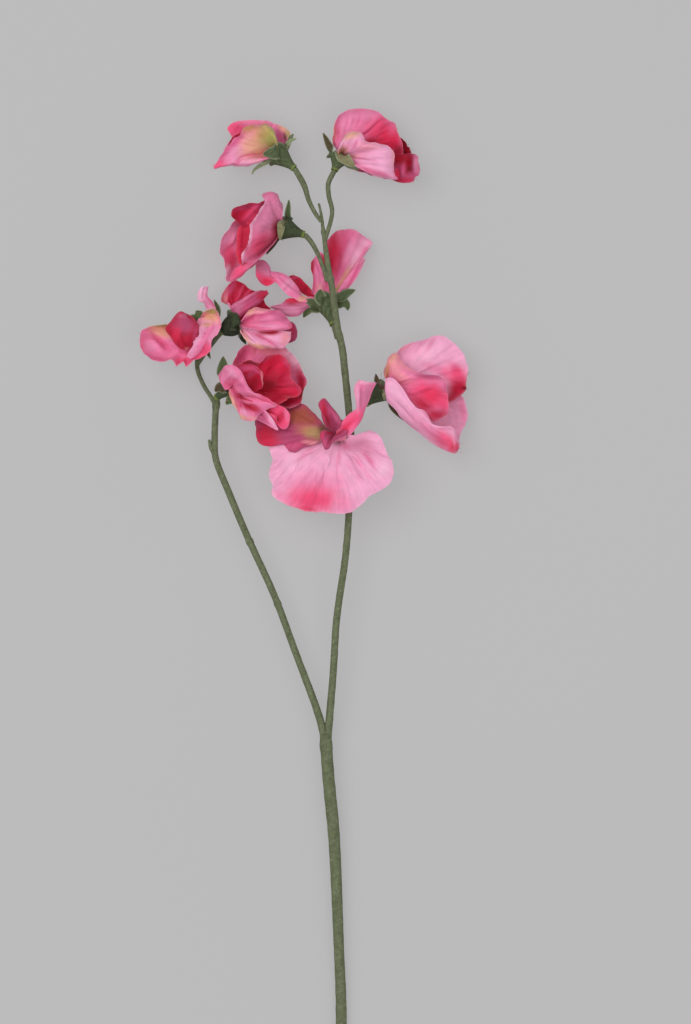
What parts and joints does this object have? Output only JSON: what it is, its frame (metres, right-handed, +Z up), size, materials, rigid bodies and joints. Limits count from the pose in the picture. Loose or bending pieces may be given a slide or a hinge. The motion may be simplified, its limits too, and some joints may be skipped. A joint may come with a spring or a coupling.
{
  "type": "sweet pea flower spray",
  "caption": "Artificial sweet pea spray lying flat: a forked taped wire stem with pink ruffled fabric blooms in green moulded calyces.",
  "frame": {"origin": "middle of the small flat under the cut end of the stem, on the surface that the spray lies on", "axes": "+Y along the stem from the cut end to the top blooms, +Z up from the surface, +X to the side of the bloom with the widest right wing"},
  "size_m": [0.1479, 0.4479, 0.0341],
  "materials": {
    "stem_tape": "matt floral tape",
    "calyx_moulded": "matt",
    "petal_fabric": "thin satin cloth"
  },
  "bodies": {
    "root": {"stem": "stem_tape", "bloom_a_calyx": "calyx_moulded", "bloom_a_corolla": "petal_fabric", "bloom_b_calyx": "calyx_moulded", "bloom_b_corolla": "petal_fabric", "bloom_c_calyx": "calyx_moulded", "bloom_c_corolla": "petal_fabric", "bloom_d_calyx": "calyx_moulded", "bloom_d_corolla": "petal_fabric", "bloom_e_calyx": "calyx_moulded", "bloom_e_corolla": "petal_fabric", "bloom_f_calyx": "calyx_moulded", "bloom_f_corolla": "petal_fabric", "bloom_g_calyx": "calyx_moulded", "bloom_g_corolla": "petal_fabric", "bloom_h_calyx": "calyx_moulded", "bloom_h_corolla": "petal_fabric", "bloom_i_calyx": "calyx_moulded", "bloom_i_corolla": "petal_fabric"}
  },
  "joints": []
}
